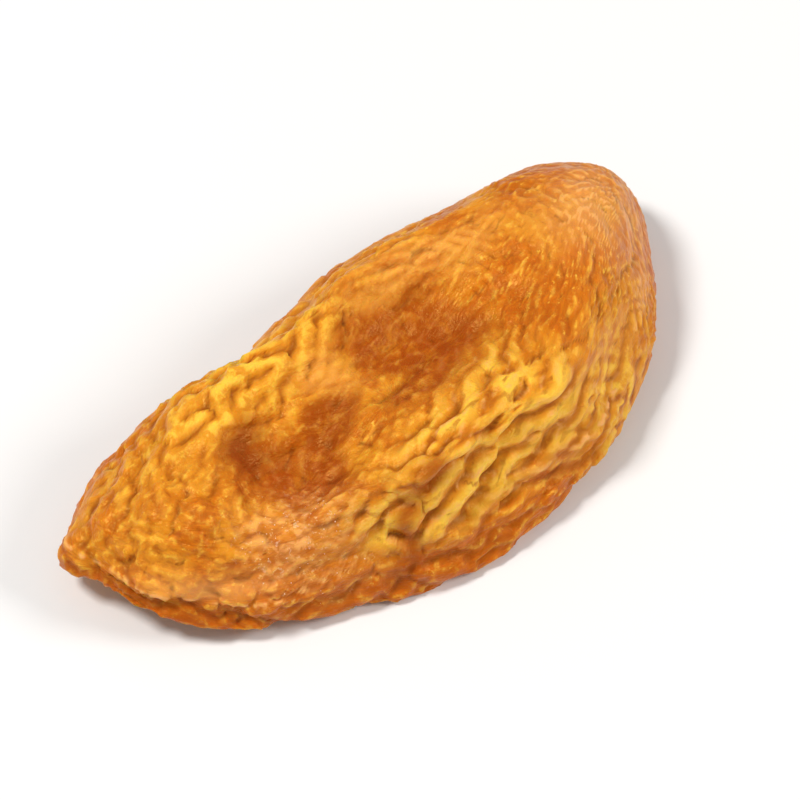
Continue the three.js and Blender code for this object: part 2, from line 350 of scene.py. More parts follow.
class ApricotColours(bpy.types.PropertyGroup):
    """Colours of the dried fruit, and of the highlights and shade painted on it"""
    golden: FloatVectorProperty(
        name="Golden", description="Raised skin", subtype="COLOR", size=4,
        default=(0.760, 0.300, 0.018, 1.0), min=0, max=1)
    amber: FloatVectorProperty(
        name="Amber", description="Most of the skin", subtype="COLOR", size=4,
        default=(0.640, 0.160, 0.006, 1.0), min=0, max=1)
    # Brown: the skin's own colour in spots, streaks and hollows, and painted shade in valleys, creases,
    # under the lip and in the pit
    brown: FloatVectorProperty(
        name="Brown", description="Sunken skin and the sides of the folds", subtype="COLOR", size=4,
        default=(0.370, 0.066, 0.003, 1.0), min=0, max=1)
    # Dark: painted shade at the bottoms of the deepest creases and in the pit
    dark: FloatVectorProperty(
        name="Dark", description="Bottoms of the deepest creases", subtype="COLOR", size=4,
        default=(0.160, 0.022, 0.001, 1.0), min=0, max=1)
    # Yellow: painted highlight on the crests of the creases and folds, and the gold folds' own bright
    # colour
    yellow: FloatVectorProperty(
        name="Yellow", description="Crests of the bold folds", subtype="COLOR", size=4,
        default=(0.960, 0.560, 0.060, 1.0), min=0, max=1)
    # Deep orange of some patches of skin, also used as painted shade on the lower flank
    ripe: FloatVectorProperty(
        name="Ripe", description="Smooth deep orange skin", subtype="COLOR", size=4,
        default=(0.620, 0.140, 0.004, 1.0), min=0, max=1)
    straw: FloatVectorProperty(
        name="Straw", description="Raised pale gold skin", subtype="COLOR", size=4,
        default=(0.860, 0.390, 0.070, 1.0), min=0, max=1)
    # Peach: the pale sugar bloom and the fibres' colour, and also painted highlights on the blunt end, on
    # gold crests, along the lip and along the edge
    peach: FloatVectorProperty(
        name="Peach", description="Dry pale skin where sugar has come out", subtype="COLOR", size=4,
        default=(0.900, 0.430, 0.130, 1.0), min=0, max=1)
    # Tan: painted sheen on the thin crests in the sunken skin
    tan: FloatVectorProperty(
        name="Tan", description="Thin crests in the sunken skin", subtype="COLOR", size=4,
        default=(0.620, 0.220, 0.045, 1.0), min=0, max=1)
    rim: FloatVectorProperty(
        name="Rim", description="Rolled rim of the flesh", subtype="COLOR", size=4,
        default=(0.820, 0.340, 0.014, 1.0), min=0, max=1)
    # Hollow: painted shade of the flesh in the stone's hollow
    hollow: FloatVectorProperty(
        name="Hollow", description="Flesh where the stone lay", subtype="COLOR", size=4,
        default=(0.460, 0.085, 0.004, 1.0), min=0, max=1)
    sugar: FloatVectorProperty(
        name="Sugar", description="Grains of sugar on the skin", subtype="COLOR", size=4,
        default=(0.900, 0.700, 0.480, 1.0), min=0, max=1)


class ApricotDetails(bpy.types.PropertyGroup):
    """Small repeated pieces on the surface"""
    grain_density: FloatProperty(
        name="Grain density", description="Sugar grains on a square metre of the palest skin",
        default=3.0e6, min=0)
    grain_radius: FloatProperty(
        name="Grain radius", description="Radius of a sugar grain",
        default=0.00004, unit="LENGTH", precision=6)
    fibre_density: FloatProperty(
        name="Fibre density", description="Torn fibres on a square metre of the hollow's edge",
        default=2.6e6, min=0)
    fibre_length: FloatProperty(
        name="Fibre length", description="Length of a torn fibre",
        default=0.0011, unit="LENGTH", precision=5)
    fibre_radius: FloatProperty(
        name="Fibre radius", description="Radius of a torn fibre at its root",
        default=0.00006, unit="LENGTH", precision=6)
    seed: IntProperty(name="Seed", description="Choice of places for grains and fibres", default=5)


class ApricotStage(bpy.types.PropertyGroup):
    """Floor, lights and camera"""
    floor_size: FloatProperty(
        name="Floor size", description="Width of the floor", default=3.0, unit="LENGTH")
    floor_colour: FloatVectorProperty(
        name="Floor colour", description="Colour of the floor", subtype="COLOR", size=4,
        default=(0.86, 0.86, 0.86, 1.0), min=0, max=1)
    azimuth: FloatProperty(
        name="Azimuth", description="Turn of the camera round the half",
        default=math.radians(-40), subtype="ANGLE")
    elevation: FloatProperty(
        name="Elevation", description="Height of the camera above the horizon",
        default=math.radians(55), subtype="ANGLE")
    distance: FloatProperty(
        name="Distance", description="Distance from the camera to the half", default=0.30, unit="LENGTH")
    lens: FloatProperty(
        name="Lens", description="Focal length in millimetres", default=200.0)
    key_power: FloatProperty(
        name="Key power", description="Power of the main light", default=1.24, unit="POWER")
    fill_power: FloatProperty(
        name="Fill power", description="Power of the soft light on the near side",
        default=0.82, unit="POWER")
    world_light: FloatProperty(
        name="World light", description="Strength of the even light", default=0.34, min=0)


# Maths shared by the shape and its patches

def smooth(start, end, value):
    t = np.clip((value - start) / (end - start), 0, 1)
    return t * t * (3 - 2 * t)


def bump(distance, width):
    return np.exp(-(distance / width) ** 2)


def wrap_degrees(angle):
    return (angle + 180) % 360 - 180


def curve_through(a, b, c, d, f):
    linear = (c - a) * f
    square = (2 * a - 5 * b + 4 * c - d) * f ** 2
    cube = (3 * b - a - 3 * c + d) * f ** 3
    return 0.5 * (2 * b + linear + square + cube)


def unit(vectors):
    return vectors / np.maximum(np.linalg.norm(vectors, axis=1), 1e-12)[:, None]


def dot(first, second):
    return np.sum(first * second, axis=1)


def patch(x, y, place):
    """Share of an oval patch at each point, 1 in its middle."""
    cx, cy, length, width, turn = place
    c, s = math.cos(math.radians(turn)), math.sin(math.radians(turn))
    along = (x - cx) * c + (y - cy) * s
    across = -(x - cx) * s + (y - cy) * c
    return bump(along, length) * bump(across, width)


def patches(x, y, places):
    """Share of the nearest of several oval patches."""
    return np.maximum.reduce([patch(x, y, place) for place in places])


def uneven(points, height, size, seed):
    """Slow unevenness, between about minus the height and the height."""
    x, y, z = (points / size).T
    first = np.sin(x + 1.7 * np.sin(0.9 * y + seed))
    second = np.sin(1.1 * y + 1.3 * np.sin(1.2 * z + 2 * seed) + seed)
    third = np.sin(0.95 * z + 1.5 * np.sin(1.05 * x + 3 * seed) + 2 * seed)
    return height * (first + second + third) / 3


# Shape of the half

def edge_at(theta):
    rows = np.array(OUTLINE)
    t = (theta / TURN % 1.0) * len(rows)
    i = np.floor(t).astype(int)
    a, b, c, d = (rows[(i + step) % len(rows)] for step in (-1, 0, 1, 2))
    return curve_through(a, b, c, d, (t - i)[:, None]) - MIDDLE


def section_at(w):
    """Share of the way out, inset and rise. Past either middle the section is its own mirror image."""
    inner = np.array(SECTION)
    mirror = np.array([-1, -1, 1])
    rows = np.vstack([inner[1] * mirror, inner, inner[-2] * mirror])
    t = np.clip(w, 0, 1) * (len(inner) - 1)
    i = np.minimum(np.floor(t).astype(int), len(inner) - 2)
    a, b, c, d = (rows[i + step] for step in (0, 1, 2, 3))
    return curve_through(a, b, c, d, (t - i)[:, None]).T


def way_at(directions):
    """Way from the middle of the skin (0) over the edge to the middle of the flesh (1)."""
    return np.arccos(np.clip(directions[:, 2], -1, 1)) / math.pi


def form(directions):
    """The shrunken half without its wrinkles, for directions out of its middle."""
    theta = np.arctan2(directions[:, 1], directions[:, 0])
    degrees = np.degrees(theta)
    w = way_at(directions)
    edge = edge_at(theta)
    share, inset, rise = section_at(w)

    roll = np.zeros(len(w))
    for waves, phase, part in ROLL_WAVES:
        roll += part * np.sin(waves * theta + phase)
    for at, width, part in PLEATS:
        roll += part * bump(wrap_degrees(degrees - at), width)
    on_roll = smooth(*ROLL_SETS_IN, w) * (1 - smooth(*ROLL_ENDS, w))
    on_lip = bump(wrap_degrees(degrees - DRY_LIP_TURN), DRY_LIP_WIDTH)
    lip_out = DRY_LIP_OUT * bump(w - DRY_LIP_WAY, DRY_LIP_HALF)
    lip_out -= TURNED_IN * bump(w - TURNED_IN_WAY, TURNED_IN_HALF)
    on_edge = smooth(*EDGE_SETS_IN, w) * (1 - smooth(*EDGE_ENDS, w))
    out = on_lip * lip_out - inset * (1 + on_roll * roll)
    for at, width, height in EDGE_DENTS:
        out += height * bump(wrap_degrees(degrees - at), width) * on_edge
    reach = share + out / np.linalg.norm(edge, axis=1)
    points = np.empty((len(w), 3))
    points[:, :2] = MIDDLE + edge * reach[:, None]

    near_side = 0.5 - 0.5 * np.sin(np.radians(degrees + NEAR_SIDE_TURN))
    outward = np.abs(reach)
    slope = 1 + NEAR_SIDE_SLOPE * near_side * smooth(*NEAR_SIDE_SLOPE_RANGE, outward)
    h = np.maximum(rise, 0) ** slope
    clear = np.ones(len(w))
    for at, width in LOW_SPOTS:
        clear *= 1 - bump(wrap_degrees(degrees - at), width)
    lift = RIM_LIFT * clear + LIP_LIFT * bump(wrap_degrees(degrees - LIP_TURN), LIP_WIDTH)
    thin_end = THIN_END_DROP * smooth(*THIN_END_RANGE, points[:, 0])
    blunt_end = BLUNT_END_RISE * bump(points[:, 0] - BLUNT_END_MIDDLE, BLUNT_END_HALF)
    crown = HEIGHT * (1 - thin_end) + blunt_end
    drop = 1 - NEAR_SIDE_DROP * near_side * smooth(*NEAR_SIDE_DROP_RANGE, outward)
    points[:, 2] = lift * (1 - smooth(*LIFT_ENDS, h)) + h * crown * drop - FLOOR_PRESS

    up = smooth(*RELIEF_SETS_IN, h)
    x, y = points[:, 0].copy(), points[:, 1].copy()
    for cx, cy, length, width, height, turn in SKIN_RELIEF:
        points[:, 2] += height * patch(x, y, (cx, cy, length, width, turn)) * up
    points[:, 2] += uneven(points, *UNEVEN_UP) * up
    along = uneven(points, *UNEVEN_ALONG)
    across = uneven(points, *UNEVEN_ACROSS)
    points[:, 0] += along
    points[:, 1] += across
    return points


def frame_at(directions):
    """Points and outward normals of the form."""
    near_pole = np.abs(directions[:, 2:3]) > NEAR_POLE
    aside = np.where(near_pole, (1.0, 0.0, 0.0), (0.0, 0.0, 1.0))
    first = unit(np.cross(aside, directions))
    second = np.cross(directions, first)
    steps = (NORMAL_STEP * first, NORMAL_STEP * second)
    slopes = [form(unit(directions + step)) - form(unit(directions - step)) for step in steps]
    return form(directions), unit(np.cross(*slopes))


# Wrinkles, as the joined phase of small wave sources strewn over the surface

def random_rows(seed, rows):
    """Four numbers from 0 to 1 a row, the same as the solid's."""
    state = seed
    numbers = []
    for _ in range(rows * 4):
        state = (RANDOM_FACTOR * state + RANDOM_STEP) % RANDOM_RANGE
        numbers.append(state / RANDOM_RANGE)
    return np.array(numbers).reshape(rows, 4)


def wave_sources(seed, rows, stray, more_thin_end, more_blunt_end=0, head_turn=0):
    """The waves run round the half, give or take the stray. head_turn turns them at the gold head."""
    height, turn, lean, phase = random_rows(seed, rows).T
    z = 1 - 2 * height
    flat = np.sqrt(1 - z * z)
    directions = np.stack([flat * np.cos(TURN * turn), flat * np.sin(TURN * turn), z], axis=1)
    points, normals = frame_at(directions)
    x, y = points[:, 0], points[:, 1]
    sideways = np.stack([(MIDDLE[1] - y) / HALF_WIDTH ** 2, x / HALF_LENGTH ** 2, np.zeros(rows)], axis=1)
    sideways = unit(sideways - normals * dot(sideways, normals)[:, None])
    across = np.cross(normals, sideways)
    stray = stray + more_thin_end * smooth(*STRAY_RANGE, x) + more_blunt_end * smooth(*CALM_RANGE, x)
    turned = stray * (2 * lean - 1)
    turned += 90 * smooth(*GRAIN_TURNS, way_at(directions)) - head_turn * patch(x, y, GOLD_HEAD)
    c = np.cos(np.radians(turned))[:, None]
    s = np.sin(np.radians(turned))[:, None]
    return points, normals, across * c + sideways * s, sideways * c - across * s, TURN * phase


def wave_phase(points, normals, sources, spacing, short, long):
    """Joined phase, 0 on a crest. spacing is the distance between crests at each source."""
    spot, facing, wave, crest, phase = (values.astype(np.float32) for values in sources)
    spacing = spacing.astype(np.float32)
    points = points.astype(np.float32)
    normals = normals.astype(np.float32)
    reach = WAVE_REACH * long * spacing.max() + CELL_SIZE
    cells = np.floor(points / CELL_SIZE).astype(int)
    keys, owner = np.unique(cells, axis=0, return_inverse=True)
    order = np.argsort(owner.ravel(), kind="stable")
    ends = np.searchsorted(owner.ravel()[order], np.arange(len(keys) + 1))
    real = np.zeros(len(points))
    imaginary = np.zeros(len(points))
    for cell, key in enumerate(keys):
        here = order[ends[cell]:ends[cell + 1]]
        near = np.flatnonzero(np.linalg.norm(spot - (key + 0.5) * CELL_SIZE, axis=1) < reach)
        away = points[here][:, None, :] - spot[near][None]
        a = np.einsum("ijk,jk->ij", away, wave[near])
        b = np.einsum("ijk,jk->ij", away, crest[near])
        rest = np.sum(away * away, axis=2) - a * a - b * b
        size = spacing[near]
        falloff = (a / (short * size)) ** 2 + (b / (long * size)) ** 2 + rest / (short * size) ** 2
        weight = np.exp(-0.5 * falloff) * np.clip(normals[here] @ facing[near].T, 0, 1) ** 2
        angle = TURN * a / size + phase[near]
        real[here] = np.sum(weight * np.cos(angle), axis=1)
        imaginary[here] = np.sum(weight * np.sin(angle), axis=1)
    return np.arctan2(imaginary, real)


def rounded_folds(phase):
    """0 in a sharp valley to 1 on a round crest."""
    return np.sqrt(WRINKLE_VALLEY + np.cos(phase / 2) ** 2) / math.sqrt(1 + WRINKLE_VALLEY)


def thin_ridges(phase):
    """0 in a wide valley to 1 on a thin crest."""
    return 1 - np.sqrt(RIDGE_CREST + np.sin(phase / 2) ** 2) / math.sqrt(1 + RIDGE_CREST)


def cube_grid(steps):
    """Directions of a cube's grid and its squares, with the corners shared and facing out."""
    line = np.tan(np.linspace(-math.pi / 4, math.pi / 4, steps + 1))
    a, b = np.meshgrid(line, line, indexing="ij")
    one = np.ones_like(a)
    sides = [(one, a, b), (-one, b, a), (b, one, a), (a, -one, b), (a, b, one), (b, a, -one)]
    loose = unit(np.concatenate([np.stack(side, axis=-1).reshape(-1, 3) for side in sides]))
    keys = np.round(loose * CORNER_KEYS).astype(int)
    _, first, shared = np.unique(keys, axis=0, return_index=True, return_inverse=True)
    index = np.arange((steps + 1) ** 2).reshape(steps + 1, steps + 1)
    corners = [index[:-1, :-1], index[1:, :-1], index[1:, 1:], index[:-1, 1:]]
    square = np.stack(corners, axis=-1).reshape(-1, 4)
    squares = np.concatenate([square + side * (steps + 1) ** 2 for side in range(6)])
    return loose[first], shared.ravel()[squares]


def corner_normals(points, squares):
    """Normal at each point, from the squares round it."""
    normals = np.zeros_like(points)
    a, b, c, d = (points[squares[:, k]] for k in range(4))
    facing = np.cross(c - a, d - b)
    for k in range(4):
        np.add.at(normals, squares[:, k], facing)
    return unit(normals)


def fine_spacing(spacing, spots, seed):
    """Distance between crests at each source: closer at the blunt end, wider on gold folds and flesh."""
    x, y, z = spots.T
    spread = 1 + SPACING_SPREAD * (random_rows(seed + 1, len(spots))[:, 0] - 0.5)
    on_gold = patches(x, y, GOLD_FOLDS)
    place = 1 - (1 - FINE_BLUNT_END) * smooth(*CALM_RANGE, x) + GOLD_WIDER * on_gold
    place += uneven(spots, *SPACING_DRIFT) * (1 - on_gold)
    return spacing * spread * (place + FLESH_WIDER * smooth(*FLESH_BELOW, z))


def drifting(points, least, more, limits, unevenness):
    """Share of the full depth at each point, which drifts from place to place."""
    return least + more * smooth(*limits, uneven(points, *unevenness))


def half_surface(shape):
    """Points in millimetres, squares, and what the finish needs to know at each point."""
    directions, squares = cube_grid(shape.grid)
    points, normals = frame_at(directions)
    w = way_at(directions)
    skin = 1 - smooth(*SKIN_ENDS, w)
    flesh = smooth(*FLESH_SETS_IN, w)

    sources = wave_sources(WRINKLE_SEED, WRINKLE_SOURCES, STRAY, STRAY_THIN_END)
    spacing = np.full(WRINKLE_SOURCES, WRINKLE_SPACING)
    wrinkle = rounded_folds(wave_phase(points, normals, sources, spacing, WRINKLE_SHORT, WRINKLE_LONG))
    calm = 1 - (1 - WRINKLE_BLUNT_END) * smooth(*CALM_RANGE, points[:, 0])
    depth = shape.wrinkle_depth / MM * skin * calm
    depth += WRINKLE_RIM * (1 - skin) * (1 - flesh) + WRINKLE_FLESH * flesh
    points = points + normals * (depth * (wrinkle - WRINKLE_LEVEL))[:, None]
    normals = corner_normals(points, squares)

    x, y = points[:, 0], points[:, 1]
    gold = patches(x, y, GOLD_FOLDS) * skin * smooth(*GOLD_ABOVE, points[:, 2])
    freer = (FINE_STRAY_THIN_END, FINE_STRAY_BLUNT_END, HEAD_TURN)
    sources = wave_sources(FOLD_SEED, FOLD_SOURCES, FOLD_STRAY, *freer)
    spacing = fine_spacing(shape.fold_spacing / MM, sources[0], FOLD_SEED)
    fold = rounded_folds(wave_phase(points, normals, sources, spacing, FINE_SHORT, FOLD_LONG))
    sunken = patches(x, y, SUNKEN) * skin
    lined = calm ** LINED_POWER * (1 - LINED_LESS_SUNKEN * sunken)
    share = drifting(points, *FOLD_DEPTHS) * lined + patch(x, y, SIDE_GOLD[0]) * skin
    depth = shape.fold_depth * share * (1 - gold) + (shape.fold_depth + shape.gold_depth) * gold
    depth = (depth * skin + shape.flesh_depth * (1 - skin)) / MM
    points = points + normals * (depth * (fold - WRINKLE_LEVEL))[:, None]
    normals = corner_normals(points, squares)

    sources = wave_sources(CREASE_SEED, CREASE_SOURCES, CREASE_STRAY, *freer)
    spacing = fine_spacing(shape.crease_spacing / MM, sources[0], CREASE_SEED)
    crease = thin_ridges(wave_phase(points, normals, sources, spacing, FINE_SHORT, CREASE_LONG))
    share = drifting(points, *CREASE_DEPTHS)
    depth = shape.crease_depth / MM * share * (1 - CREASE_LESS_ON_GOLD * gold)
    depth *= CREASE_ON_FLESH + (1 - CREASE_ON_FLESH) * skin
    points = points + normals * (depth * (crease - 1 + WRINKLE_LEVEL))[:, None]

    x = points[:, 0] + uneven(points, *PATCH_ALONG)
    y = points[:, 1] + uneven(points, *PATCH_ACROSS)
    theta = np.arctan2(directions[:, 1], directions[:, 0])
    degrees = np.degrees(theta)
    lip_side = bump(wrap_degrees(degrees - DRY_LIP_TURN), DRY_LIP_WIDTH)
    pale_lip = bump(wrap_degrees(degrees - PALE_LIP_TURN), PALE_LIP_WIDTH)
    # Painted shade under the lip, strongest on the lip's side
    under_lip = UNDER_LIP_ELSEWHERE + (1 - UNDER_LIP_ELSEWHERE) * lip_side
    side_gold = patches(x, y, SIDE_GOLD) * skin
    # Deep orange patches, and painted shade low on the flank
    ripe = np.maximum(patches(x, y, DEEP_ORANGE_PATCHES), smooth(*LOW_SHADE_BELOW, points[:, 2]))
    edge_line = PALE_EDGE_WAY + PALE_EDGE_WAVE * np.sin(PALE_EDGE_WAVES * theta + 1)
    looks = {
        "run": np.stack([RUN_ROUND * np.cos(theta), RUN_ROUND * np.sin(theta), RUN_ACROSS * w], axis=1),
        "wrinkle": wrinkle,
        "fold": fold,
        "crease": crease,
        # Painted highlight along the dry lip
        "lip": pale_lip * bump(w - DRY_LIP_WAY, PALE_LIP_HALF),
        "under_lip": smooth(*UNDER_LIP_SETS_IN, w) * skin * under_lip,
        "gold": gold,
        # Hollows of the skin, brown partly by their own colour and partly by painted shade
        "sunken": smooth(*SUNKEN_EDGE, patches(x, y, SUNKEN)) * skin,
        "lined": lined,
        "pale": patches(x, y, BLOOM) * skin,
        "straw": patches(x, y, STRAW) * skin,
        "brown": patches(x, y, BROWN_SPOTS) * skin,
        # Painted shade in the small pit
        "pit": patches(x, y, PIT_SHADE) * skin,
        "side_gold": side_gold,
        # Painted highlight on the blunt end
        "peach": patches(x, y, PEACH_HIGHLIGHT_END) * skin,
        # Deep orange patches, and painted shade low on the flank
        "ripe": ripe * (1 - side_gold) * skin,
        # Painted highlight line along the edge of the skin
        "pale_edge": bump(w - edge_line, PALE_EDGE_HALF) * skin * share,
        "flesh": smooth(*CUT_EDGE, w + uneven(points, *CUT_UNEVEN)),
        "stone": smooth(*STONE_EDGE, w + uneven(points, *STONE_UNEVEN)),
        "torn": bump(w - TORN_WAY, TORN_HALF),
    }
    points[:, 0] -= BOX_MIDDLE[0]
    points[:, 1] -= BOX_MIDDLE[1]
    points[:, 2] = np.maximum(points[:, 2], 0)
    return points, squares, looks


# Materials

def add(tree, kind, inputs=None, **settings):
    """A new node. inputs are values or sockets by the input's name or number."""
    node = tree.nodes.new(kind)
    for name, value in settings.items():
        setattr(node, name, value)
    for name, value in (inputs or {}).items():
        if isinstance(value, bpy.types.NodeSocket):
            tree.links.new(value, node.inputs[name])
        else:
            node.inputs[name].default_value = value
    return node


def mixed(tree, share, first, second):
    """Two colours mixed. The share is the second one's."""
    return add(tree, "ShaderNodeMixRGB", {"Fac": share, "Color1": first, "Color2": second}).outputs[0]


def maths(tree, operation, first, second=0.0, clamp=False):
    node = add(tree, "ShaderNodeMath", {0: first, 1: second}, operation=operation, use_clamp=clamp)
    return node.outputs[0]


def ranged(tree, value, start, end, low=0.0, high=1.0):
    """The value's way from start to end, eased, as a number from low to high."""
    inputs = {"Value": value, "From Min": start, "From Max": end, "To Min": low, "To Max": high}
    return add(tree, "ShaderNodeMapRange", inputs, interpolation_type="SMOOTHSTEP").outputs[0]


def between(tree, value, low, high):
    """A number from low to high for a value from 0 to 1."""
    return add(tree, "ShaderNodeMapRange", {"Value": value, "To Min": low, "To Max": high}).outputs[0]


def attribute(tree, name):
    """A value that the surface holds at each point."""
    return add(tree, "ShaderNodeAttribute", attribute_name=name).outputs["Fac"]


def dried_skin_group():
    """Fine puckers, striations, mottling and flecks that every finish of the dried fruit shares."""
    group = bpy.data.node_groups.new(GRAIN_GROUP, "ShaderNodeTree")
    sockets = group.interface
    sockets.new_socket("Place", in_out="INPUT", socket_type="NodeSocketVector")
    sockets.new_socket("Run", in_out="INPUT", socket_type="NodeSocketVector")
    pucker = sockets.new_socket("Pucker size", in_out="INPUT", socket_type="NodeSocketFloat")
    pucker.default_value = OTHER_PUCKERS
    for name in ("Height", "Streak", "Mottle", "Fleck", "Speck"):
        sockets.new_socket(name, in_out="OUTPUT", socket_type="NodeSocketFloat")
    start = add(group, "NodeGroupInput")
    end = add(group, "NodeGroupOutput")
    place = start.outputs["Place"]

    def noise(scale, detail, rough, distortion, offset=0.0, where=place):
        moved = add(group, "ShaderNodeVectorMath", {0: where, 1: (offset, offset, offset)}, operation="ADD")
        inputs = {"Vector": moved.outputs[0], "Scale": scale, "Detail": detail, "Roughness": rough,
                  "Distortion": distortion}
        return add(group, "ShaderNodeTexNoise", inputs).outputs["Fac"]

    def thin_lines(value):
        return maths(group, "ABSOLUTE", maths(group, "SUBTRACT", value, 0.5))

    scale = maths(group, "DIVIDE", 1.0, start.outputs["Pucker size"])
    puckers = thin_lines(noise(scale, *PUCKER_LINES))
    streak = thin_lines(noise(1.0, *STREAK_LINES, where=start.outputs["Run"]))
    pucker_height = maths(group, "MULTIPLY", puckers, PUCKER_HEIGHT)
    height = maths(group, "ADD", pucker_height, maths(group, "MULTIPLY", streak, STREAK_HEIGHT))
    group.links.new(height, end.inputs["Height"])
    group.links.new(ranged(group, streak, *STREAK_LIMITS), end.inputs["Streak"])
    for name, (look, limits) in (("Mottle", MOTTLE), ("Fleck", FLECK), ("Speck", SPECK)):
        group.links.new(ranged(group, noise(*look), *limits), end.inputs[name])
    return group


def empty_material(name):
    """A new material and its empty tree."""
    material = bpy.data.materials.new(name)
    material.use_nodes = True
    material.node_tree.nodes.clear()
    return material, material.node_tree


def grain_in(tree, grain, inputs=None):
    """The node of the grain group, laid out on the piece's own coordinates."""
    place = add(tree, "ShaderNodeTexCoord").outputs["Object"]
    return add(tree, "ShaderNodeGroup", dict(inputs or {}, Place=place), node_tree=grain)


def grain_bump(tree, detail, strength, distance):
    inputs = {"Strength": strength, "Distance": distance, "Height": detail.outputs["Height"]}
    return add(tree, "ShaderNodeBump", inputs).outputs[0]


def shade(tree, inputs):
    """A shader with those inputs, as the tree's surface."""
    shader = add(tree, "ShaderNodeBsdfPrincipled", inputs)
    add(tree, "ShaderNodeOutputMaterial", {"Surface": shader.outputs[0]})


def fruit_material(name, colours, grain):
    material, tree = empty_material(name)
    run = add(tree, "ShaderNodeAttribute", attribute_name="run").outputs["Vector"]
    detail = grain_in(tree, grain, {"Run": run, "Pucker size": SKIN_PUCKERS})
    streak, mottle, fleck, speck = (detail.outputs[name] for name in ("Streak", "Mottle", "Fleck", "Speck"))
    fold, crease, wrinkle = (attribute(tree, name) for name in ("fold", "crease", "wrinkle"))
    tone = {name: tuple(getattr(colours, name)) for name in colours.__annotations__}

    def tint(colour, other, *shares):
        """The colour with another laid over it, by the product of the shares."""
        joined = shares[0]
        for share in shares[1:]:
            joined = maths(tree, "MULTIPLY", joined, share)
        return mixed(tree, maths(tree, "MULTIPLY", joined, 1.0, clamp=True), colour, tone[other])

    # Crests, where highlights are painted, and valleys, where shade is painted
    crest = ranged(tree, crease, 0.30, 0.85)
    raised = ranged(tree, fold, 0.50, 1.0)
    valley = ranged(tree, fold, 0.55, 0.10)
    broken = ranged(tree, fleck, -0.3, 0.9)
    gold, side_gold, pale = (attribute(tree, name) for name in ("gold", "side_gold", "pale"))
    lined, sunken = (attribute(tree, name) for name in ("lined", "sunken"))

    # The whole skin, with its striations, and with painted highlights on the crests and painted shade in
    # the valleys of its creases and folds
    colour = tint(tone["amber"], "golden", mottle, 0.85)
    # Deep orange patches, and painted shade on the lower flank
    colour = tint(colour, "ripe", attribute(tree, "ripe"), 0.9)
    # Painted highlights on the crests of the creases
    colour = tint(colour, "yellow", crest, fleck, 0.70)
    colour = tint(colour, "brown", streak, ranged(tree, mottle, 1.2, 0.0), 0.50)
    # Painted highlight specks on the crease crests
    colour = tint(colour, "yellow", speck, ranged(tree, crease, 0.1, 0.6), 0.6)
    # Painted shade in the creases and in the valleys of the folds
    colour = tint(colour, "brown", ranged(tree, crease, 0.20, 0.02), broken, 0.45)
    colour = tint(colour, "brown", valley, lined, broken, 0.75)

    # Gold of the far side and the flank, with painted highlights on its crests and painted shade in its
    # valleys; a painted highlight on the blunt end, and a painted highlight line along the edge of the skin
    colour = tint(colour, "golden", side_gold, 0.9)
    # Yellow crests, partly the gold's own colour and partly painted highlight; brown valleys, painted shade
    colour = tint(colour, "yellow", side_gold, raised, broken, 1.2)
    colour = tint(colour, "brown", side_gold, valley, 0.9)
    # Painted highlight on the blunt end, strongest on the crests
    colour = tint(colour, "peach", attribute(tree, "peach"), ranged(tree, crest, -0.8, 0.9))
    # Painted highlight line along the edge
    colour = tint(colour, "peach", attribute(tree, "pale_edge"), ranged(tree, crease, 0.1, 0.7), 0.7)

    # Bold golden folds of the near side, with painted highlights on their crests and painted shade in their
    # valleys and creases
    colour = tint(colour, "golden", gold, 0.8)
    # Yellow crests, partly the folds' own colour and partly painted highlight
    colour = tint(colour, "yellow", gold, raised, ranged(tree, fleck, -1.2, 0.9), 1.3)
    # Painted shade in the valleys and creases of the gold folds
    colour = tint(colour, "brown", gold, valley, 0.8)
    colour = tint(colour, "brown", gold, ranged(tree, crease, 0.22, 0.02), fleck, 0.7)
    # Painted highlight on the crests of the gold folds
    colour = tint(colour, "peach", gold, crest, fleck, 0.8)

    # Brown spots, pale skin, and the hollows, brown partly by their own colour and partly by painted shade,
    # with a painted sheen on their crests
    colour = tint(colour, "brown", attribute(tree, "brown"), 0.9)
    colour = tint(colour, "straw", attribute(tree, "straw"), ranged(tree, crease, -0.4, 0.6), 0.85)
    # Hollows brown, partly their own colour and partly painted shade
    colour = tint(colour, "brown", sunken, ranged(tree, fleck, 2.4, -0.2))
    # Painted sheen on the crests in the hollows
    colour = tint(colour, "tan", sunken, crest, 0.30)
    dry = ranged(tree, fleck, -0.4, 0.9)
    colour = tint(colour, "peach", pale, dry, ranged(tree, crease, -0.3, 0.5), 0.9)
    colour = tint(colour, "sugar", pale, speck, 0.5)

    # A painted highlight along the lip, painted shade on the skin turned in under it, and painted shade in
    # the pit and at the bottoms of the deepest creases
    # Painted shade on the skin turned in under the lip and on the lower wall
    colour = tint(colour, "brown", attribute(tree, "under_lip"), 0.6)
    # Painted highlight along the dry lip
    colour = tint(colour, "peach", attribute(tree, "lip"), 0.5)
    # Painted shade in the small pit
    colour = tint(colour, "brown", attribute(tree, "pit"), 1.3)
    colour = tint(colour, "dark", attribute(tree, "pit"), 0.35)
    # Painted shade at the bottoms of the deepest valleys
    colour = tint(colour, "dark", valley, ranged(tree, wrinkle, 0.6, 0.1), 0.5)

    # The cut side, darker in the stone's hollow and in the valleys of its folds by painted shade
    flesh = mixed(tree, maths(tree, "MULTIPLY", mottle, 0.5), tone["rim"], tone["golden"])
    # Darker flesh in the stone's hollow: painted shade
    hollow = mixed(tree, maths(tree, "MULTIPLY", mottle, 0.35), tone["hollow"], tone["rim"])
    flesh = mixed(tree, attribute(tree, "stone"), flesh, hollow)
    # Painted shade in the valleys of the flesh
    flesh = tint(flesh, "brown", valley, 0.25)
    colour = mixed(tree, attribute(tree, "flesh"), colour, flesh)

